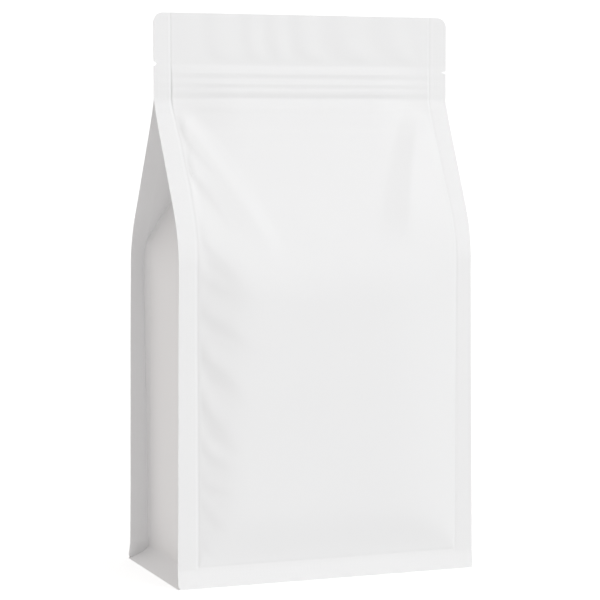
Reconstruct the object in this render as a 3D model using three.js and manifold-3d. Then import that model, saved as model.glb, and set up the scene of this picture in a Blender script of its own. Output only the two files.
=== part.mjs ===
// A filled flat-bottom pouch of white film, standing on its base with its top seal and zipper shut.
//
// Lengths are millimetres. X runs along the width, -Y is the front, +Z is up, and the origin is
// the middle of the base. The shut pouch is one solid: a filled core whose side gussets fold
// inwards above the shoulder, and a front and a back sheet that stand out past the gussets as
// flat seal fins and meet in the header.

import * as THREE from 'three';
import { mergeVertices } from 'three/addons/utils/BufferGeometryUtils.js';
import Module from 'manifold-3d';

const wasm = await Module();
wasm.setup();

// Driving dimensions of the pouch
const width = 140; // across the front, over both seal fins
const height = 248;
const depth = 72; // one gusset, from the front fins to the back fins
const sealWidth = 9; // of each side seal, which is also how far a fin stands out
const sheetThickness = 0.8; // of a fin: two layers of film and their seal, made thicker to be a solid
const coreInset = 0.3; // how deep in the sheets the filled core ends
const headerThickness = 1.2;
const headerPlane = -5; // Y of the header: it leans a little to the front

// Where the faces turn, as heights
const frontShoulder = 151;
const backShoulder = 146.5;
const gussetShoulder = 145.5; // the gussets start to lean inwards here
const headerStart = 211; // the front and the back meet here
const gussetFoldDepth = 36; // how far in from the edge a gusset is folded at the header
const shoulderReach = 12; // a bend is spread over this much above and below its height
const headerReach = 3;
const gussetReach = 15; // half-way across a gusset, which bends sharply at its two creases

// The waist: filling the pouch draws its sides in a little below the shoulder
const waistHeight = 140;
const waistInset = 1.5;

// The base seal: how high it is, and how far it flares out at the ground
const baseSealHeight = 8;
const frontFlare = 1.3;
const backFlare = 3;
const sideFlapHeight = 4.5; // at the gussets the seal is bent right out, to the fins' edges
const flapCurve = 1.4;

// How far the filling pushes the front and the back out between their seals
const panelBulge = 3.5;
const bulgeRise = 32; // the bulge grows over this height above the base seal
const bulgeFade = 50; // and fades over this height below the header
const bulgeSquareness = 3;
const gussetBulge = 1.2;

// Header details
const topCornerRadius = 4.5;
const baseCornerRadius = 2;
const tearNotches = [
  { side: -1, height: 225.8, depth: 2.1, mouth: 3 },
  { side: 1, height: 223.2, depth: 2.7, mouth: 1.8 },
];
const zipperRidges = [222, 217.9, 213.9]; // heights of their crests
const ridgeHalfHeight = 1.5;
const ridgeRelief = 0.5; // how far a ridge stands out of the header's front and back
const ridgeSides = 12;
const cornerSides = 6;

// Columns and rows of the faces
const panelColumns = 12;
const coreColumns = 8;
const coreLayers = 6;

const filmWhite = 0xf3f2f0;
const overlap = 5; // how far a cutter reaches past what it cuts

const panelHalfWidth = width / 2 - sealWidth;
const frontFace = headerPlane - headerThickness / 2;
const backFace = headerPlane + headerThickness / 2;

// A line that stays at 0, then climbs by `slope`, with a soft bend spread over `reach` each way
function bend(at, bendAt, reach, slope) {
  if (at <= bendAt - reach) return 0;
  if (at >= bendAt + reach) return slope * (at - bendAt);
  return (slope * (at - bendAt + reach) ** 2) / (4 * reach);
}

// 0 below `from`, 1 above `to`, and smooth between them
function ease(at, from, to) {
  return THREE.MathUtils.smoothstep(at, from, to);
}

// Half of the width over the fins: a shallow waist
function halfWidth(z) {
  const inwards = waistInset / waistHeight;
  const outwards = waistInset / (headerStart - waistHeight);
  return width / 2 - inwards * z + bend(z, waistHeight, shoulderReach, inwards + outwards)
    - bend(z, headerStart, headerReach, outwards);
}

// Half of the filled width, out to the gusset: a flap that splays at the ground, an upright
// wall, and above the shoulder a triangle that leans in to the fold's inner point. `middle` is
// 0 at the gusset's creases and 1 half-way between them.
function gussetHalfWidth(z, middle) {
  const lean = (gussetFoldDepth - sealWidth) / (headerStart - gussetShoulder);
  const splay = sealWidth * Math.max(0, 1 - z / sideFlapHeight) ** flapCurve;
  const upright = ease(z, sideFlapHeight, sideFlapHeight + bulgeRise) * (1 - ease(z, waistHeight, headerStart));
  return panelHalfWidth + splay + gussetBulge * middle * upright
    - bend(z, gussetShoulder, gussetReach * middle, lean);
}

function bulge(x, z) {
  const across = 1 - Math.min(1, Math.abs(x) / panelHalfWidth) ** bulgeSquareness;
  const rise = ease(z, baseSealHeight, baseSealHeight + bulgeRise);
  return panelBulge * across * rise * (1 - ease(z, headerStart - bulgeFade, headerStart - headerReach));
}

function flare(z, reach) {
  return reach * Math.max(0, 1 - z / baseSealHeight) ** 2;
}

// Y of the front and the back, at a place across and a height
function frontY(x, z) {
  const lean = (depth / 2 + frontFace) / (headerStart - frontShoulder);
  return -depth / 2 + bend(z, frontShoulder, shoulderReach, lean) - bend(z, headerStart, headerReach, lean)
    - bulge(x, z) - flare(z, frontFlare);
}

function backY(x, z) {
  const lean = (depth / 2 - backFace) / (headerStart - backShoulder);
  return depth / 2 - bend(z, backShoulder, shoulderReach, lean) + bend(z, headerStart, headerReach, lean)
    + bulge(x, z) + flare(z, backFlare);
}

// Evenly spaced values from `from` up to, but not with, `to`
function steps(from, to, count) {
  return Array.from({ length: count }, (_, i) => from + ((to - from) * i) / count);
}

// Heights of the rows: close together where the faces bend
const lowRows = [
  ...steps(0, sideFlapHeight, 3),
  ...steps(sideFlapHeight, baseSealHeight, 2),
  ...steps(baseSealHeight, baseSealHeight + bulgeRise, 6),
  ...steps(baseSealHeight + bulgeRise, gussetShoulder - gussetReach, 4),
  ...steps(gussetShoulder - gussetReach, gussetShoulder, 4),
  ...steps(gussetShoulder, frontShoulder + shoulderReach, 5),
  ...steps(frontShoulder + shoulderReach, headerStart - headerReach, 6),
  ...steps(headerStart - headerReach, headerStart + headerReach, 4),
];
const sheetRows = [...lowRows, headerStart + headerReach, height - topCornerRadius, height];
const coreTop = headerStart + headerReach; // ends inside the header
const coreRows = [...lowRows.filter((z) => z < coreTop), coreTop];

// A box whose corners in every row, column and layer are put where `place` says
function shapedBox(columns, layers, rows, place) {
  const geometry = new THREE.BoxGeometry(1, 1, 1, columns, layers, rows.length - 1);
  const position = geometry.attributes.position;
  for (let i = 0; i < position.count; i += 1) {
    const column = Math.round((position.getX(i) + 0.5) * columns);
    const layer = position.getY(i) + 0.5;
    const z = rows[Math.round((position.getZ(i) + 0.5) * (rows.length - 1))];
    const [x, y] = place(column, layer, z);
    position.setXYZ(i, x, y, z);
  }
  return geometry;
}

// X of a sheet's columns: one for each seal, and the others spread over the panel
function sheetX(column, z) {
  if (column === 0) return -halfWidth(z);
  if (column === panelColumns + 2) return halfWidth(z);
  return panelHalfWidth * ((2 * (column - 1)) / panelColumns - 1);
}

function frontSheet() {
  return shapedBox(panelColumns + 2, 1, sheetRows, (column, layer, z) => {
    const x = sheetX(column, z);
    return [x, frontY(x, z) + sheetThickness * layer];
  });
}

function backSheet() {
  return shapedBox(panelColumns + 2, 1, sheetRows, (column, layer, z) => {
    const x = sheetX(column, z);
    return [x, backY(x, z) - sheetThickness * (1 - layer)];
  });
}

// The filled middle, whose front and back end inside the two sheets
function core() {
  return shapedBox(coreColumns, coreLayers, coreRows, (column, layer, z) => {
    const across = (2 * column) / coreColumns - 1;
    const x = across * gussetHalfWidth(z, 1 - (2 * layer - 1) ** 2);
    const front = frontY(x, z) + coreInset;
    const back = backY(x, z) - coreInset;
    return [x, THREE.MathUtils.lerp(front, back, layer)];
  });
}

// One press-to-close ridge, which runs from side seal to side seal
function zipperRidge(z) {
  const ridge = new THREE.CylinderGeometry(1, 1, 2 * panelHalfWidth, ridgeSides);
  ridge.rotateZ(Math.PI / 2);
  ridge.scale(1, headerThickness / 2 + ridgeRelief, ridgeHalfHeight);
  ridge.translate(0, headerPlane, z);
  return ridge;
}

// An outline drawn in the front view, pushed right through the pouch
function frontCutter(outline) {
  const cutter = new THREE.ExtrudeGeometry(outline, { depth: 2 * depth, bevelEnabled: false });
  cutter.rotateX(Math.PI / 2);
  cutter.translate(0, depth, 0);
  return cutter;
}

// What is cut off a corner to round it; `side` is -1 or 1, and `up` is 1 at the top and -1 at the base
function cornerCutter(side, up, radius) {
  const cornerX = side * (width / 2);
  const cornerZ = up > 0 ? height : 0;
  const points = [];
  for (const angle of [...steps(0, Math.PI / 2, cornerSides), Math.PI / 2]) {
    points.push(new THREE.Vector2(
      cornerX - side * radius * (1 - Math.sin(angle)),
      cornerZ - up * radius * (1 - Math.cos(angle)),
    ));
  }
  points.push(new THREE.Vector2(cornerX + side * overlap, cornerZ - up * radius));
  points.push(new THREE.Vector2(cornerX + side * overlap, cornerZ + up * overlap));
  points.push(new THREE.Vector2(cornerX - side * radius, cornerZ + up * overlap));
  return frontCutter(new THREE.Shape(points));
}

// A V cut into the edge of the header, to start a tear
function notchCutter({ side, height: z, depth: notchDepth, mouth }) {
  const edge = side * (width / 2);
  const widening = mouth / 2 / notchDepth;
  const outside = mouth / 2 + overlap * widening;
  const outline = new THREE.Shape();
  outline.moveTo(edge - side * notchDepth, z);
  outline.lineTo(edge + side * overlap, z + outside);
  outline.lineTo(edge + side * overlap, z - outside);
  return frontCutter(outline);
}

function toSolid(geometry) {
  geometry.deleteAttribute('normal');
  geometry.deleteAttribute('uv');
  const merged = mergeVertices(geometry, 1e-4);
  const mesh = new wasm.Mesh({
    numProp: 3,
    vertProperties: merged.attributes.position.array,
    triVerts: Uint32Array.from(merged.index.array),
  });
  return new wasm.Manifold(mesh);
}

function toGeometry(solid) {
  const mesh = solid.getMesh();
  const geometry = new THREE.BufferGeometry();
  geometry.setAttribute('position', new THREE.BufferAttribute(mesh.vertProperties, 3));
  geometry.setIndex(new THREE.BufferAttribute(mesh.triVerts, 1));
  geometry.computeVertexNormals();
  return geometry;
}

function pouchGeometry() {
  let solid = toSolid(core()).add(toSolid(frontSheet())).add(toSolid(backSheet()));
  for (const z of zipperRidges) {
    solid = solid.add(toSolid(zipperRidge(z)));
  }
  for (const side of [-1, 1]) {
    solid = solid.subtract(toSolid(cornerCutter(side, 1, topCornerRadius)));
    solid = solid.subtract(toSolid(cornerCutter(side, -1, baseCornerRadius)));
  }
  for (const notch of tearNotches) {
    solid = solid.subtract(toSolid(notchCutter(notch)));
  }
  return toGeometry(solid);
}

const film = new THREE.MeshStandardMaterial({ color: filmWhite, roughness: 0.6, metalness: 0 });

const pouch = new THREE.Mesh(pouchGeometry(), film);
pouch.name = 'pouch';

const model = new THREE.Group();
model.add(pouch);

export default model;
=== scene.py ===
# A filled flat-bottom pouch of matte white film, standing shut on its base.
# Lengths of the pouch are in millimetres, and those of the film's finish and the studio in metres.

import math

import bpy
import numpy as np
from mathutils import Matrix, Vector


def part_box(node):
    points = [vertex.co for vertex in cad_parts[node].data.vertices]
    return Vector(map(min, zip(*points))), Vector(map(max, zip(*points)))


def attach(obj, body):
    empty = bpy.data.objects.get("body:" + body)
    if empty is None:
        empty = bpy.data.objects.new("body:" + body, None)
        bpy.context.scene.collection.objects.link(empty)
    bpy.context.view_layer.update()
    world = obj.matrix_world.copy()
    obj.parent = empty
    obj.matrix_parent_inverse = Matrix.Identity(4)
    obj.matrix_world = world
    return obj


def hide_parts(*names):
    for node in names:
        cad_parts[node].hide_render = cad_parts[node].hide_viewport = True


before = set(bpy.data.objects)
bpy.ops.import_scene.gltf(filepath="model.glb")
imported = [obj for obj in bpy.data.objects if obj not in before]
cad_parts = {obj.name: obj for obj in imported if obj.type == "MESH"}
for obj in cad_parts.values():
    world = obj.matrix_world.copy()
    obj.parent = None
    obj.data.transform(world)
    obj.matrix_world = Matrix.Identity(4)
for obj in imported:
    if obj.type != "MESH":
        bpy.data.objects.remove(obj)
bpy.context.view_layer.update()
mm = 0.001
pouchLow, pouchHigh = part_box("pouch")

# ---- the pouch's sizes, which every web is cut and folded to

pouch = {
    "width": (pouchHigh.x - pouchLow.x) / mm,  # over both seal fins
    "height": pouchHigh.z / mm,
    "depth": 72,  # one gusset
    "sealWidth": 9,
    "frontShoulder": 151,
    "backShoulder": 146.5,
    "gussetShoulder": 145.5,
    "headerStart": 206.5,
    "headerFront": -5.6,  # Y of the header's two faces
    "headerBack": -4.4,
    "gussetFoldDepth": 34,
    "shoulderReach": 12,  # each bend is spread over its reach above and below its height
    "headerReach": 2.5,
    "gussetReach": 15,
    "panelEarlier": 6,  # between its seals a panel bends this much lower down
    "panelSofter": 12,  # and over this much more reach
    "panelCrown": 3,  # the higher, the nearer to the seals that holds
    "waistHeight": 140,
    "waistInset": 1.5,
    "baseSeal": 8,
    "frontFlare": 1.3,
    "backFlare": 3,
    "flareCurve": 1.2,
    "sideFlap": 6,
    "flapCurve": 1.9,
    "bulge": 5.4,
    "bulgeFade": 80.5,  # it fades over this height below the header
    "gussetBulge": 1.2,
    "gussetBulgeRise": 32,
    "topCorner": 4.5,
    "baseCorner": 2,
    "film": 0.2,  # one layer
    "layerGap": 0.03,
    "weld": 0.02,
    "smoothUnder": 38,  # degrees
    "standoff": 0.08,  # the lowest film edge over the floor
    "standoffFade": 20,  # the height at which nothing is left of that
}
sealEdge = pouch["width"] / 2 - pouch["sealWidth"]
sealLip = 0.3  # what fades out at a seal's inner line ends this far inside the seal

pillow = {  # how the filling lifts the front and the back between their seals
    "crispness": 5,
    "leftSlope": 0.165,  # the left face climbs evenly, then bends level
    "leftSlopeAbove": 0.15,
    "flatter": (136, 164),  # the heights between which it goes over to that
    "leftReach": 28,
    "leftSoft": 12,
    "leftLean": 0.004,
    "rightLip": 0.4,
    "rightLipReach": 6,
    "rightLean": 0.105,
    "baseLip": 2.2,
    "baseLipReach": 24,
    "baseLean": 0.014,
}

bead = {  # a narrow slanted strip beside the gusset's roots, where the film leaves the seal
    "slope": 0.2,
    "reach": [  # (z, how far in from the roots it ends)
        (5, 0), (12, 3.5), (20, 4.5), (35, 2.8), (55, 4), (75, 4.6), (95, 6), (120, 7.5), (135, 8),
        (150, 5), (165, 3), (195, 0),
    ],
    "waves": [(0.07, 3.1, 0), (0.05, 1.3, 1)],  # (share, length, start) of what makes its edge uneven
}


def ease(at, start, end):
    t = np.clip((np.asarray(at, float) - start) / (end - start), 0, 1)
    return t * t * (3 - 2 * t)


def bend(at, bendAt, reach, slope):
    # 0, then climbing by the slope, with a soft bend spread over the reach each way
    at = np.asarray(at, float)
    reach = np.maximum(reach, 1e-6)
    soft = slope * (at - bendAt + reach) ** 2 / (4 * reach)
    return np.where(at <= bendAt - reach, 0, np.where(at >= bendAt + reach, slope * (at - bendAt), soft))


def softCurve(at, knots, soft=1):
    # through the knots, level at each of them when soft is 1 and straight between them when it is 0
    knots = sorted(knots)
    spots = np.array([k[0] for k in knots], float)
    outs = np.array([k[1] for k in knots], float)
    at = np.clip(at, spots[0], spots[-1])
    i = np.clip(np.searchsorted(spots, at, side="right") - 1, 0, len(spots) - 2)
    t = (at - spots[i]) / (spots[i + 1] - spots[i])
    share = t + (t * t * (3 - 2 * t) - t) * soft
    return outs[i] + (outs[i + 1] - outs[i]) * share


def halfWidth(z):
    inwards = pouch["waistInset"] / pouch["waistHeight"]
    outwards = pouch["waistInset"] / (pouch["headerStart"] - pouch["waistHeight"])
    waist = bend(z, pouch["waistHeight"], pouch["shoulderReach"], inwards + outwards)
    top = bend(z, pouch["headerStart"], pouch["headerReach"], outwards)
    return pouch["width"] / 2 - inwards * z + waist - top


def flapSplay(z):
    return pouch["sealWidth"] * np.maximum(0, 1 - z / pouch["sideFlap"]) ** pouch["flapCurve"]


def gussetBead(z, inwards):
    uneven = sum(share * np.sin(z / length + start) for share, length, start in bead["waves"])
    reach = softCurve(z, bead["reach"]) * (1 + uneven)
    return bead["slope"] * np.maximum(0, reach - inwards)


def gussetX(z, middle):
    # how far out the gusset lies; middle is 0 at its creases and 1 half-way between them
    foldedIn = pouch["gussetFoldDepth"] - pouch["sealWidth"]
    lean = foldedIn / (pouch["headerStart"] - pouch["gussetShoulder"])
    upright = ease(z, pouch["sideFlap"], pouch["sideFlap"] + pouch["gussetBulgeRise"])
    upright = upright * (1 - ease(z, pouch["waistHeight"], pouch["headerStart"]))
    out = sealEdge + flapSplay(z) + pouch["gussetBulge"] * middle * upright
    return out - bend(z, pouch["gussetShoulder"], pouch["gussetReach"] * middle, lean)


def leastOf(*faces):
    # the lowest of several faces, rounded off where they meet
    total = sum(np.maximum(face, 1e-3) ** -pillow["crispness"] for face in faces)
    return total ** (-1 / pillow["crispness"])


def panelBulge(x, z):
    # the filled panel leans up from each seal: steep from the left, long and flat from the right
    above = ease(z, *pillow["flatter"])
    slope = pillow["leftSlope"] + (pillow["leftSlopeAbove"] - pillow["leftSlope"]) * above
    fromLeft = x + sealEdge
    levelling = bend(fromLeft, pillow["leftReach"], pillow["leftSoft"], slope - pillow["leftLean"])
    left = slope * fromLeft - levelling
    fromRight = sealEdge - x
    right = pillow["rightLip"] * (1 - np.exp(-fromRight / pillow["rightLipReach"]))
    right = right + pillow["rightLean"] * fromRight
    upwards = z - pouch["baseSeal"]
    below = pillow["baseLip"] * ease(upwards, 0, pillow["baseLipReach"]) + pillow["baseLean"] * upwards
    out = leastOf(left, right, below, pouch["bulge"]) * (np.abs(x) < sealEdge) * (upwards > 0)
    return out * (1 - ease(z, pouch["headerStart"] - pouch["bulgeFade"], pouch["headerStart"] + 1))


def baseFlare(z, reach):
    return reach * np.maximum(0, 1 - z / pouch["baseSeal"]) ** pouch["flareCurve"]


def leanTowardsHeader(x, z, shoulder, run):
    # between its seals a panel bends lower down and more softly than the seals do
    between = np.maximum(0, 1 - (np.abs(x) / sealEdge) ** pouch["panelCrown"])
    start = shoulder - pouch["panelEarlier"] * between
    lean = run / (pouch["headerStart"] - start)
    reach = pouch["shoulderReach"] + pouch["panelSofter"] * between
    return bend(z, start, reach, lean) - bend(z, pouch["headerStart"], pouch["headerReach"], lean)


def frontY(x, z):
    back = leanTowardsHeader(x, z, pouch["frontShoulder"], pouch["depth"] / 2 + pouch["headerFront"])
    return back - pouch["depth"] / 2 - panelBulge(x, z) - baseFlare(z, pouch["frontFlare"])


def backY(x, z):
    forward = leanTowardsHeader(x, z, pouch["backShoulder"], pouch["depth"] / 2 - pouch["headerBack"])
    return pouch["depth"] / 2 - forward + panelBulge(-x, z) + baseFlare(z, pouch["backFlare"])


# ---- relief: how far the film stands out of those smooth faces

header = {
    "pinch": 0.38,  # each face closes this much towards the other
    "pinched": (207.5, 211),  # it sets in between these heights
    "zipper": [  # (z, out): the panel that it holds out, then steps that lean back between upright lines
        (145, 0), (197, 1.75), (206.5, 3.42), (208, 2.88), (211, 1.8), (213.2, 2.2), (214.2, 2.15),
        (215.3, 1.78), (215.7, 1.76), (217.1, 1.9), (217.5, 1.85), (219.6, 1.15), (220, 1.13),
        (221.6, 1.3), (222, 1.26), (225.6, 0),
    ],
    "zipperSoft": 0.3,
    "endShare": 0.3,  # what is left of that at the side seals
    "endReach": 30,
    "sealShare": 0.16,  # and in the seals, fading to their edges
    "crushed": (205.5, 210.5),  # where the seals turn flat
    "flutes": [  # (x, out): valleys and crests of the soft waves above the zipper
        (-61, 0.05), (-56, 0.12), (-48, 0), (-41, 0.3), (-30, 0.05), (-25, 0.25), (-18.5, 0), (-13, 0.25),
        (-7, 0), (0, 0.3), (8, 0), (19, 0.38), (31.5, 0), (43.5, 0.3), (52, 0.05), (57, 0.15), (61, 0),
    ],
    "fluteTop": 240,
    "fluteEnd": 226,
    "fluteLean": 7,  # between those heights the waves swing this far to the right on their way down
    "fluteLeftShare": 0.4,  # and those on the left this share of it
    "fluteTurn": (-12, 25),  # the places across between which that changes
    "fluteFade": 10,  # to the side seals
    "fluteStart": 5,  # they rise over this height above their lower end
}

seal = {
    "grooveAt": 0.5,  # outside the seal's inner line
    "grooveHalf": 0.9,
    "grooveDepth": 0.13,
    "grooveFrom": 2,  # it deepens over this height above the base seal
    "baseGrooveAt": 8.9,
    "baseGrooveDepth": 0.1,
    "markSoft": 0.5,  # the finish changes over this much each side of the base seal's line
    "markInside": 0.3,  # and from this far inside to this far outside a side seal's line
    "markOutside": 0.8,
}

foldFade = {  # how the folds end at the panel's borders
    "side": 3.2,
    "base": 5,
    "top": (205, 210),
}

tuck = {
    "narrowing": 0.7,  # how much of its fall is gone at the tip
    "hollow": 0.3,  # the higher, the more it falls at once
    "start": 0.02,  # the share of its length over which it sets in
    "tip": 1.1,  # 1 fades evenly towards the tip
    "fade": 6,  # beside the side seal
}


def headerRelief(x, z):
    fromMiddle = np.abs(x)
    held = 1 - (1 - header["endShare"]) * ease(fromMiddle, sealEdge - header["endReach"], sealEdge - 0.5)
    crushed = ease(fromMiddle, sealEdge - 0.2, sealEdge + sealLip) * ease(z, *header["crushed"])
    outwards = np.clip((fromMiddle - sealEdge) / (halfWidth(z) - sealEdge), 0, 1)
    share = held + crushed * (header["sealShare"] * (1 - outwards) - held)
    zipper = softCurve(z, header["zipper"], header["zipperSoft"]) * share
    between = 1 - ease(fromMiddle, sealEdge - header["fluteFade"], sealEdge + 0.5)
    leftShare = header["fluteLeftShare"]
    swing = header["fluteLean"] * (leftShare + (1 - leftShare) * ease(x, *header["fluteTurn"]))
    swing = swing * ease(-z, -header["fluteTop"], -header["fluteEnd"])
    flutes = softCurve(x - swing * between, header["flutes"])
    flutes = flutes * ease(z, header["fluteEnd"], header["fluteEnd"] + header["fluteStart"]) * between
    return zipper + flutes


def sealRelief(x, z):
    beside = np.abs(np.abs(x) - sealEdge - seal["grooveAt"]) / seal["grooveHalf"]
    above = ease(z, pouch["baseSeal"], pouch["baseSeal"] + seal["grooveFrom"])
    groove = seal["grooveDepth"] * (1 - ease(beside, 0, 1)) * above
    under = np.abs(z - seal["baseGrooveAt"]) / seal["grooveHalf"]
    inside = 1 - ease(np.abs(x), sealEdge - 1, sealEdge + 1)
    return -groove - seal["baseGrooveDepth"] * (1 - ease(under, 0, 1)) * inside


def curvePoints(path, count=14):
    # a smooth curve from the first point to the last, drawn towards the middle one
    first, middle, last = (np.array(p, float) for p in path)
    control = 2 * middle - (first + last) / 2
    t = np.linspace(0, 1, count)[:, None]
    return (1 - t) ** 2 * first + 2 * t * (1 - t) * control + t ** 2 * last


def acrossAndAlong(x, z, path):
    # distance to the curve, positive on the left of its way, and the share of its length
    points = curvePoints(path)
    best = np.full(x.shape, 1e9)
    side = np.zeros(x.shape)
    share = np.zeros(x.shape)
    for i in range(len(points) - 1):
        (ax, az), (bx, bz) = points[i], points[i + 1]
        dx, dz = bx - ax, bz - az
        t = np.clip(((x - ax) * dx + (z - az) * dz) / (dx * dx + dz * dz), 0, 1)
        gapX, gapZ = x - ax - t * dx, z - az - t * dz
        gap = np.hypot(gapX, gapZ)
        nearer = gap < best
        best = np.where(nearer, gap, best)
        side = np.where(nearer, np.sign(dx * gapZ - dz * gapX), side)
        share = np.where(nearer, (i + t) / (len(points) - 1), share)
    return best * side, share


def foldRelief(x, z, fold):
    across, along = acrossAndAlong(x, z, fold["path"])
    if fold["kind"] == "crease":  # a sharp line with a flank on each side
        grow = 1 + (fold.get("spread", 1) - 1) * along
        reach = np.where(across > 0, fold["left"], fold["right"]) * grow
        shape = np.maximum(0, 1 - np.abs(across) / reach) ** fold["crisp"]
        ends = ease(along, -0.001, fold["start"]) * (1 - ease(along, 1 - fold["end"], 1.001))
    else:  # a tuck: the film comes up to a line, falls away below it and fills out again
        down = -across
        fall = fold["fall"] * (1 - tuck["narrowing"] * along)
        rise = fold["rise"]
        dip = np.clip(down / fall, 0, 1)
        dip = dip * (1 + tuck["hollow"] - tuck["hollow"] * dip)
        shape = np.where(down > fall, -0.5 * (1 - ease(down, fall, fall + rise)), 0.5 - dip)
        shape = np.where(down < 0, 0.5 * (1 - ease(-down, 0, rise)), shape)
        ends = ease(along, -0.001, tuck["start"]) * (1 - along) ** tuck["tip"]
        ends = ends * (1 - ease(np.abs(x), sealEdge - fold.get("fade", tuck["fade"]), sealEdge + sealLip))
    return fold["out"] * shape * ends


frontFolds = [  # each along a curve of three points (x, z); start and end are shares of its length
    # the long slack from the left end of the zipper down into the panel: a crest and the valley above it
    {"kind": "crease", "path": [(-60, 204), (-44, 177.5), (-21, 137)], "out": 0.5, "left": 5.5, "right": 9,
     "start": 0.06, "end": 0.25, "crisp": 1.4},
    {"kind": "crease", "path": [(-55, 206), (-35, 179.5), (-16, 134)], "out": -0.3, "left": 20, "right": 6,
     "start": 0.1, "end": 0.25, "crisp": 1.4},
    # two short strokes under it
    {"kind": "tuck", "path": [(-61.5, 198), (-55.8, 190), (-47, 177)], "out": 1.2, "fall": 5, "rise": 11,
     "fade": 3.5},
    {"kind": "tuck", "path": [(-61.5, 179.5), (-53.3, 172), (-43, 153)], "out": 1.7, "fall": 6, "rise": 15,
     "fade": 3.5},
    # at the right end it is one broad crest
    {"kind": "crease", "path": [(57.5, 208), (45.2, 178), (36, 141)], "out": 1.55, "left": 11.5,
     "right": 6.5, "start": 0.3, "end": 0.3, "spread": 2.2, "crisp": 1.15},
    # tucks along the left seal, where the filling leaves the film slack
    {"kind": "tuck", "path": [(-62, 151), (-51, 143), (-33, 121)], "out": 1.5, "fall": 10, "rise": 15},
    {"kind": "tuck", "path": [(-62, 134), (-52, 131), (-38, 123)], "out": 0.6, "fall": 6, "rise": 6},
    {"kind": "tuck", "path": [(-62, 118.5), (-49, 114), (-31, 98)], "out": 0.9, "fall": 7, "rise": 8},
    {"kind": "tuck", "path": [(-62, 101), (-50, 94), (-37, 78)], "out": 1.4, "fall": 10, "rise": 8},
    {"kind": "tuck", "path": [(-62, 81), (-53, 73), (-41, 56)], "out": 1.3, "fall": 10, "rise": 8},
    {"kind": "tuck", "path": [(-62, 61), (-55, 58), (-45, 50)], "out": 1.05, "fall": 7, "rise": 6},
    {"kind": "tuck", "path": [(-62, 46), (-55, 44.5), (-43, 40)], "out": 0.75, "fall": 5.5, "rise": 5},
    {"kind": "tuck", "path": [(-62, 36), (-55.5, 32.5), (-46, 21)], "out": 0.85, "fall": 7, "rise": 5},
    {"kind": "tuck", "path": [(-61.5, 22), (-58, 18.5), (-51.5, 11)], "out": 0.6, "fall": 4, "rise": 4},
]


def movedFold(fold, lift, share):
    # a fold moved up and made weaker, with its two flanks changed over
    moved = dict(fold, path=[(x, z + lift) for x, z in fold["path"]], out=fold["out"] * share)
    if "left" in fold:
        moved.update(left=fold["right"], right=fold["left"])
    return moved


# the back has the front's folds at its own left, moved up or down a little and weaker
backLifts = (4, 1, -2)
backShares = (0.8, 0.65)
backFolds = [movedFold(fold, backLifts[i % 3], backShares[i % 2]) for i, fold in enumerate(frontFolds)]


def relief(x, z, folds, side):
    # side is 1 for the front and -1 for the back, which is seen from the other side
    out = headerRelief(x, z) + sealRelief(x, z) - header["pinch"] * ease(z, *header["pinched"])
    onPanel = 1 - ease(np.abs(x), sealEdge - foldFade["side"], sealEdge + sealLip)
    onPanel = onPanel * ease(z, pouch["baseSeal"], pouch["baseSeal"] + foldFade["base"])
    onPanel = onPanel * (1 - ease(z, *foldFade["top"]))
    for fold in folds:
        out = out + foldRelief(side * x, z, fold) * onPanel
    return out


def frontFace(x, z):
    return frontY(x, z) - relief(x, z, frontFolds, 1)


def backFace(x, z):
    return backY(x, z) + relief(x, z, backFolds, -1)


# ---- making a web

def spaced(*stops):
    # values from stop to stop: spaced(0, 1, 10) runs from 0 to 10 by about 1
    values = [stops[0]]
    for step, end in zip(stops[1::2], stops[2::2]):
        count = max(1, round(abs(end - values[-1]) / step))
        values.extend(np.linspace(values[-1], end, count + 1)[1:])
    return np.array(values, float)


def gridSheet(name, columns, rows):
    bpy.ops.object.select_all(action="DESELECT")
    bpy.ops.mesh.primitive_grid_add(x_subdivisions=len(columns) - 1, y_subdivisions=len(rows) - 1, size=1)
    sheet = bpy.context.object
    sheet.name = name
    sheet.data.name = name
    return sheet


def gridPlaces(sheet, columns, rows):
    co = np.empty(len(sheet.data.vertices) * 3)
    sheet.data.vertices.foreach_get("co", co)
    co = co.reshape(-1, 3) + 0.5
    column = np.rint(co[:, 0] * (len(columns) - 1)).astype(int)
    row = np.rint(co[:, 1] * (len(rows) - 1)).astype(int)
    return columns[column], rows[row]


def placePoints(sheet, x, y, z):
    co = np.stack([x, y, z], 1) * mm
    sheet.data.vertices.foreach_set("co", co.ravel())
    sheet.data.update()


def makeActive(obj):
    bpy.ops.object.select_all(action="DESELECT")
    obj.select_set(True)
    bpy.context.view_layer.objects.active = obj


def editMesh(obj, step):
    makeActive(obj)
    bpy.ops.object.mode_set(mode="EDIT")
    step()
    bpy.ops.object.mode_set(mode="OBJECT")


def selectAll(obj, chosen):
    # this and selectFaces are called in object mode
    for part in (obj.data.vertices, obj.data.edges, obj.data.polygons):
        part.foreach_set("select", [chosen] * len(part))


def selectFaces(obj, inside):
    # inside is a test of a face's centre in millimetres
    selectAll(obj, False)
    for face in obj.data.polygons:
        face.select = bool(inside(face.center / mm))


def rounded(x, z, edge, height, radius, up):
    # a square corner's points moved so that its edge follows the quarter circle
    cornerX = np.abs(x) - (edge - radius)
    cornerZ = up * (z - height) + radius
    square = np.maximum(cornerX, cornerZ)
    length = np.hypot(cornerX, cornerZ)
    near = (cornerX > 0) & (cornerZ > 0)
    scale = np.where(near, square / np.maximum(length, 1e-9), 1)
    newX = np.where(near, np.sign(x) * (edge - radius + cornerX * scale), x)
    newZ = np.where(near, height + up * (cornerZ * scale - radius), z)
    return newX, newZ


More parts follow.
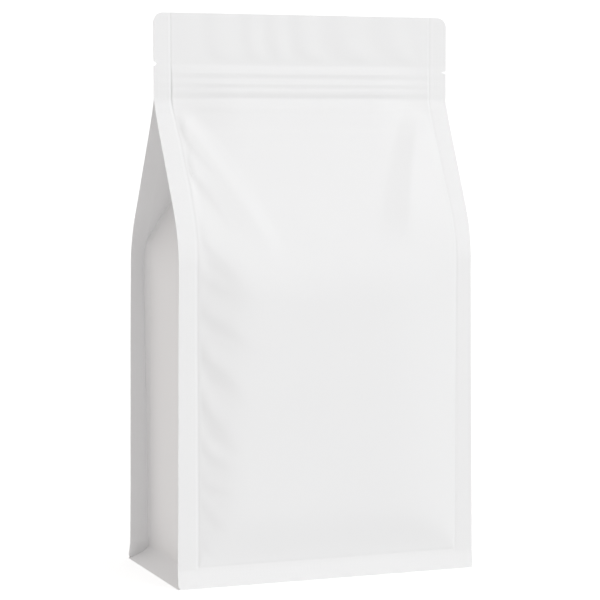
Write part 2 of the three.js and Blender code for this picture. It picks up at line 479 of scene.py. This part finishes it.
def panelPlaces(column, row):
    # a column is a place across the flat web, whose seals then follow the waist
    edge = halfWidth(row)
    outside = (np.abs(column) - sealEdge) / pouch["sealWidth"]
    x = np.where(outside > 0, np.sign(column) * (sealEdge + outside * (edge - sealEdge)), column)
    x, z = rounded(x, row, edge, pouch["height"], pouch["topCorner"], 1)
    return rounded(x, z, edge, 0, pouch["baseCorner"], -1)


leftSide = {  # the pouch isn't quite even there: (z, how far in)
    "edge": [
        (0, 0.55), (30, 0.6), (60, 0.45), (110, 0.25), (140, 0.3), (170, 0.5), (206, 0.5), (248, 0.45),
    ],
    "edgeFrom": 20,  # how far left of the middle that begins
    "frontSeal": [  # the inner line of the front's seal
        (0, 0.7), (135, 1), (150, 1.4), (168, 1.3), (190, 0.6), (200, -0.2), (208, -1), (248, -1),
    ],
    "frontSealFrom": 36,
}


def unevenLeft(x, z):
    return x + softCurve(z, leftSide["edge"]) * ease(-x, leftSide["edgeFrom"], sealEdge)


def widerLeftSeal(x, z):
    edge = halfWidth(z)
    onPanel = ease(-x, leftSide["frontSealFrom"], sealEdge)
    near = np.where(x < -sealEdge, (edge + x) / (edge - sealEdge), onPanel)
    return x + softCurve(z, leftSide["frontSeal"]) * np.clip(near, 0, 1)


def offFloor(z):
    # the lowest rows are lifted a little
    return z + pouch["standoff"] * (1 - ease(z, 0, pouch["standoffFade"]))


notches = [  # a V in each side seal; the film is split up to the clear distance past its tip
    {"side": -1, "height": 225.8, "depth": 2.1, "mouth": 3, "clear": 1},
    {"side": 1, "height": 223.2, "depth": 2.7, "mouth": 1.2, "clear": 1},
]


def cutNotch(web, notch):
    # split the film along both sides of the V, then delete what is inside
    side, apexZ = notch["side"], notch["height"]
    apexX = side * (pouch["width"] / 2 - notch["depth"])
    widening = notch["mouth"] / 2 / notch["depth"]

    def isNear(centre):
        return side * (centre.x - apexX) > -notch["clear"] and abs(centre.z - apexZ) < notch["mouth"]

    def isInside(centre):
        into = side * (centre.x - apexX)
        return into > 0 and abs(centre.z - apexZ) < into * widening

    for up in (-1, 1):
        selectFaces(web, isNear)
        normal = (-side * widening, 0, up)
        place = (apexX * mm, 0, apexZ * mm)
        editMesh(web, lambda: bpy.ops.mesh.bisect(plane_co=place, plane_no=normal))
    selectFaces(web, isInside)
    editMesh(web, lambda: bpy.ops.mesh.delete(type="FACE"))


def facing(obj, way):
    # turns every face to the side that the web shows
    up = sum((face.normal * face.area for face in obj.data.polygons), Vector())
    if up.dot(Vector(way)) < 0:
        selectAll(obj, True)
        editMesh(obj, lambda: bpy.ops.mesh.flip_normals())


def beyond(at, line):
    return ease(at, line - seal["markSoft"], line + seal["markSoft"])


def besideSeal(x):
    return ease(np.abs(x), sealEdge - seal["markInside"], sealEdge + seal["markOutside"])


def markSeals(obj, sealed):
    # the share of pressed seal at each point, for the material
    co = np.empty(len(obj.data.vertices) * 3)
    obj.data.vertices.foreach_get("co", co)
    x, y, z = co.reshape(-1, 3).T / mm
    mark = obj.data.attributes.new("sealed", "FLOAT", "POINT")
    mark.data.foreach_set("value", sealed(x, y, z).astype(np.float32))


def finishFilm(obj, material):
    layer = obj.modifiers.new("film", "SOLIDIFY")
    layer.thickness = pouch["film"] * mm
    layer.offset = -1
    layer.use_even_offset = True
    makeActive(obj)
    bpy.ops.object.modifier_apply(modifier=layer.name)
    for point in obj.data.vertices:  # no corner of a layer reaches under the floor
        point.co.z = max(point.co.z, pouch["standoff"] * mm)
    bpy.ops.object.shade_smooth_by_angle(angle=math.radians(pouch["smoothUnder"]))
    obj.data.materials.clear()
    obj.data.materials.append(material)
    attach(obj, "root")
    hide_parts("pouch")
    print("made", obj.name, len(obj.data.polygons), "faces")


def panelWeb(name, face, way, material):
    # its grid is finer at the grooves beside the seals and at the zipper
    half = pouch["width"] / 2
    groove = sealEdge + seal["grooveAt"]
    right = spaced(0, 1.15, groove - 2.6, 0.35, groove - 1.1, 0.18, groove, 0.35, groove + 1.4, 1, half)
    columns = np.concatenate([-right[:0:-1], right])
    rows = spaced(0, 0.7, 7, 0.35, 11, 1.15, 207, 0.34, 228, 1.15, pouch["height"])
    web = gridSheet(name, columns, rows)
    x, z = panelPlaces(*gridPlaces(web, columns, rows))
    y = face(x, z)
    if way[1] < 0:  # the front
        x = widerLeftSeal(x, z)
    placePoints(web, unevenLeft(x, z), y, offFloor(z))
    for notch in notches:
        cutNotch(web, notch)
    facing(web, way)
    markSeals(web, lambda x, y, z: np.maximum(besideSeal(x), 1 - beyond(z, pouch["baseSeal"])))
    finishFilm(web, material)


gusset = {
    "above": 3,  # how far it reaches up between the front and the back in the header
    "finFrom": 30,  # its fins lie further than this from the middle of the pouch
}


def gussetWeb(name, side, material):
    # stations along the web: fin, side triangle, gusset face, side triangle, fin
    columns = spaced(0, 0.12, 1, 1 / 18, 2, 0.008, 2.12, 0.017, 2.88, 0.008, 3, 1 / 18, 4, 0.12, 5)
    rows = spaced(0, 0.45, 9, 1.2, 143, 0.9, 149, 1.3, pouch["headerStart"] + gusset["above"])
    web = gridSheet(name, columns, rows)
    station, z = gridPlaces(web, columns, rows)
    layers = 2 * pouch["film"] + pouch["layerGap"]
    root = sealEdge + flapSplay(z) + gussetBead(z, 0)
    crease = np.minimum(root, gussetX(z, 0) + gussetBead(z, 0))
    fin = np.clip(np.where(station < 2.5, station, 5 - station), 0, 1)
    triangle = np.clip(np.where(station < 2.5, station - 1, 4 - station), 0, 1)
    across = np.clip(station - 2, 0, 1)
    middle = 1 - (2 * across - 1) ** 2
    edge = halfWidth(z)
    out = edge + (root - edge) * fin
    out = out + (crease - root) * triangle
    fromRoot = np.minimum(across, 1 - across) * pouch["depth"]
    out = np.where((station > 2) & (station < 3), gussetX(z, middle) + gussetBead(z, fromRoot), out)
    x = side * out
    placeX, placeZ = rounded(x, z, edge, 0, pouch["baseCorner"], -1)
    x = np.where((station <= 1) | (station >= 4), placeX, x)
    z = np.where((station <= 1) | (station >= 4), placeZ, z)
    front = frontFace(x, z) + layers
    back = backFace(x, z) - layers
    middleY = (front + back) / 2
    front = np.minimum(front, middleY - pouch["layerGap"])
    back = np.maximum(back, middleY + pouch["layerGap"])
    y = np.where(station <= 2, front, np.where(station >= 3, back, front + (back - front) * across))
    placePoints(web, unevenLeft(x, z), y, offFloor(z))
    selectAll(web, True)
    editMesh(web, lambda: bpy.ops.mesh.remove_doubles(threshold=pouch["weld"] * mm))
    facing(web, (side, 0, 0))

    def sealed(x, y, z):
        onFin = besideSeal(x) * (np.abs(y) > gusset["finFrom"])
        return np.maximum(onFin, 1 - beyond(z, pouch["sideFlap"]))

    markSeals(web, sealed)
    finishFilm(web, material)


# ---- the base web: sealed inside the rim, sagging to the floor under the filling

base = {
    "rim": 6.5,  # how high it is sealed at the rim
    "sag": 9,  # how far in from the rim it has come down
    "clear": 0.2,  # between it and the floor
    "fromSeal": 1.1,  # inside the gussets' roots
    "fromFaces": 0.6,  # and inside the front and the back
    "sealed": (0.93, 0.97),
}


def baseWeb(name, material):
    columns = spaced(-1, 0.02, -0.8, 0.04, 0.8, 0.02, 1)
    rows = spaced(-1, 0.03, -0.75, 0.06, 0.75, 0.03, 1)
    web = gridSheet(name, columns, rows)
    u, v = gridPlaces(web, columns, rows)
    halfX = sealEdge - base["fromSeal"]
    halfY = pouch["depth"] / 2 - base["fromFaces"]
    x, y = u * halfX, v * halfY
    rimward = np.minimum(halfX - np.abs(x), halfY - np.abs(y))
    z = base["clear"] + base["rim"] * (1 - ease(rimward, 0, base["sag"]))
    placePoints(web, x, y, z)
    facing(web, (0, 0, -1))
    markSeals(web, lambda x, y, z: ease(np.maximum(np.abs(x) / halfX, np.abs(y) / halfY), *base["sealed"]))
    finishFilm(web, material)


# ---- materials

class Wire:
    # a socket that can stand in a sum: wire * 2 + 1 adds Math nodes
    def __init__(self, bench, socket):
        self.bench = bench
        self.socket = socket

    def maths(self, operation, *others):
        node = self.bench.add("ShaderNodeMath", {"operation": operation}, self, *others)
        return Wire(self.bench, node.outputs[0])

    def __add__(self, other):
        return self.maths("ADD", other)

    def __radd__(self, other):
        return self.maths("ADD", other)

    def __sub__(self, other):
        return self.maths("SUBTRACT", other)

    def __rsub__(self, other):
        node = self.bench.add("ShaderNodeMath", {"operation": "SUBTRACT"}, other, self)
        return Wire(self.bench, node.outputs[0])

    def __mul__(self, other):
        return self.maths("MULTIPLY", other)

    def __rmul__(self, other):
        return self.maths("MULTIPLY", other)


class Bench:
    # the node tree of one material or world
    def __init__(self, owner):
        owner.use_nodes = True
        self.tree = owner.node_tree
        self.tree.nodes.clear()

    def add(self, kind, settings=None, *values, **named):
        # a node of this kind, its settings set first, then its sockets in order and by name
        node = self.tree.nodes.new(kind)
        for key, value in (settings or {}).items():
            setattr(node, key, value)
        for i, value in enumerate(values):
            self.plug(node.inputs[i], value)
        for key, value in named.items():
            self.plug(node.inputs[key.replace("_", " ")], value)
        return node

    def plug(self, socket, value):
        if isinstance(value, Wire):
            self.tree.links.new(value.socket, socket)
        elif isinstance(value, bpy.types.NodeSocket):
            self.tree.links.new(value, socket)
        else:
            socket.default_value = value

    def wire(self, socket):
        return Wire(self, socket)

    def noise(self, place, scale, detail):
        node = self.add("ShaderNodeTexNoise", None, Vector=place, Scale=scale, Detail=detail)
        return self.wire(node.outputs["Fac"])


film = {
    "white": (0.864, 0.863, 0.864, 1),
    "shade": (0.844, 0.843, 0.844, 1),
    "shadeShare": 0.5,
    "roughness": 0.52,
    "roughnessSpread": 0.1,
    "sealRoughness": 0.46,
    "ior": 1.46,
    "mottle": 26,  # patches a metre
    "grain": 2600,
    "grainDepth": 0.000004,
    "pressPitch": 900,  # lines a metre in the pressed seals
    "pressDepth": 0.000005,
}


def filmMaterial():
    material = bpy.data.materials.new("filmWhite")
    bench = Bench(material)
    place = bench.add("ShaderNodeTexCoord").outputs["Object"]
    sealed = bench.wire(bench.add("ShaderNodeAttribute", {"attribute_name": "sealed"}).outputs["Fac"])
    mottle = bench.noise(place, film["mottle"], detail=3)
    grain = bench.noise(place, film["grain"], detail=2)
    colour = bench.add("ShaderNodeMix", {"data_type": "RGBA"}, mottle * film["shadeShare"])
    bench.plug(colour.inputs[6], film["white"])
    bench.plug(colour.inputs[7], film["shade"])
    turned = bench.add("ShaderNodeMapping", None, Vector=place, Rotation=(0, math.radians(45), 0))
    checks = bench.add("ShaderNodeTexChecker", None, Vector=turned.outputs[0], Scale=film["pressPitch"])
    press = bench.wire(checks.outputs["Fac"])
    height = grain * film["grainDepth"] + press * sealed * film["pressDepth"]
    bump = bench.add("ShaderNodeBump", None, Strength=1.0, Distance=1.0, Height=height)
    roughness = (mottle - 0.5) * film["roughnessSpread"] + film["roughness"]
    roughness = roughness + sealed * (film["sealRoughness"] - film["roughness"])
    skin = bench.add(
        "ShaderNodeBsdfPrincipled", None, Base_Color=colour.outputs[2], Roughness=roughness,
        Normal=bump.outputs[0], IOR=film["ior"],
    )
    output = bench.add("ShaderNodeOutputMaterial")
    bench.plug(output.inputs["Surface"], skin.outputs[0])
    return material


# ---- studio

studio = {
    "floorSize": 8,
    "floorWhite": (0.5, 0.5, 0.5, 1),
    "floorRoughness": 0.9,
    "floorGlow": 0.62,
    "backdrop": 1.1,
    "sky": (0.248, 0.254, 0.257),  # the same from every side
    "softLights": [  # (way to it, colour): each fades out over its half of the sky
        ((1, 0, 0), (0.157, 0.157, 0.157)),
        ((-1, 0, 0), (0.202, 0.173, 0.165)),
        ((0, 1, 0), (0.69, 0.663, 0.636)),
        ((0, 0, -1), (0.823, 0.823, 0.823)),
    ],
    "keys": [  # (degrees right of the front, degrees up, strength): far and large
        (35, 40, 0.282),
        (60, 50, 0.409),
        (20, 10, 0.69),
        (45, 20, 0.429),
        (-20, 60, 0.494),
        (180, 75, 0.203),
    ],
    "keySize": 28,  # degrees across
    "aim": (0, 0, 0.12),
    "cameraPlace": (-0.34752, -0.90774, 0.19572),
    "cameraTurn": (85.57, 0, -20.98),  # degrees
    "lens": 129.36,  # this and the sensor's width are in millimetres
    "sensor": 36,
}


def studioWorld():
    world = bpy.data.worlds.new("studio")
    bpy.context.scene.world = world
    bench = Bench(world)
    way = bench.add("ShaderNodeTexCoord").outputs["Generated"]
    glow = studio["sky"]
    for toward, colour in studio["softLights"]:
        facingIt = bench.add("ShaderNodeVectorMath", {"operation": "DOT_PRODUCT"}, way, toward)
        lobe = bench.wire(facingIt.outputs["Value"]).maths("MAXIMUM", 0.0)
        part = bench.add("ShaderNodeVectorMath", {"operation": "SCALE"}, colour, Scale=lobe)
        glow = bench.add("ShaderNodeVectorMath", {"operation": "ADD"}, glow, part.outputs[0]).outputs[0]
    seen = bench.add("ShaderNodeLightPath").outputs["Is Camera Ray"]
    colour = bench.add("ShaderNodeMix", {"data_type": "RGBA"}, seen)
    bench.plug(colour.inputs[6], glow)
    bench.plug(colour.inputs[7], (studio["backdrop"],) * 3 + (1,))
    sky = bench.add("ShaderNodeBackground", None, Color=colour.outputs[2])
    output = bench.add("ShaderNodeOutputWorld")
    bench.plug(output.inputs["Surface"], sky.outputs[0])


def studioFloor():
    bpy.ops.object.select_all(action="DESELECT")
    bpy.ops.mesh.primitive_plane_add(size=studio["floorSize"])
    floor = bpy.context.object
    floor.name = "floor"
    paper = bpy.data.materials.new("floorPaper")
    bench = Bench(paper)
    skin = bench.add(
        "ShaderNodeBsdfPrincipled", None, Base_Color=studio["floorWhite"],
        Roughness=studio["floorRoughness"], Emission_Color=(1, 1, 1, 1),
        Emission_Strength=studio["floorGlow"],
    )
    output = bench.add("ShaderNodeOutputMaterial")
    bench.plug(output.inputs["Surface"], skin.outputs[0])
    floor.data.materials.append(paper)
    floor.visible_diffuse = False  # the sky under the horizon lights the pouch instead
    floor.visible_glossy = False
    floor.visible_shadow = False


def studioLights():
    for i, (right, up, strength) in enumerate(studio["keys"]):
        right, up = math.radians(right), math.radians(up)
        way = Vector((math.sin(right) * math.cos(up), -math.cos(right) * math.cos(up), math.sin(up)))
        bpy.ops.object.light_add(type="SUN", location=Vector(studio["aim"]) + way)
        key = bpy.context.object
        key.name = f"key_{i}"
        key.data.energy = strength
        key.data.angle = math.radians(studio["keySize"])
        key.rotation_euler = way.to_track_quat("Z", "Y").to_euler()


def studioCamera():
    turn = [math.radians(angle) for angle in studio["cameraTurn"]]
    bpy.ops.object.camera_add(location=studio["cameraPlace"], rotation=turn)
    camera = bpy.context.object
    camera.data.lens = studio["lens"]
    camera.data.sensor_width = studio["sensor"]
    camera.data.clip_start = 0.01
    bpy.context.scene.camera = camera
    bpy.context.scene.view_settings.view_transform = "Standard"


studioCamera()
studioWorld()
studioFloor()
studioLights()
print("studio ready")
white = filmMaterial()
panelWeb("front_web", frontFace, (0, -1, 0), white)
panelWeb("back_web", backFace, (0, 1, 0), white)
gussetWeb("left_gusset", -1, white)
gussetWeb("right_gusset", 1, white)
baseWeb("base_web", white)
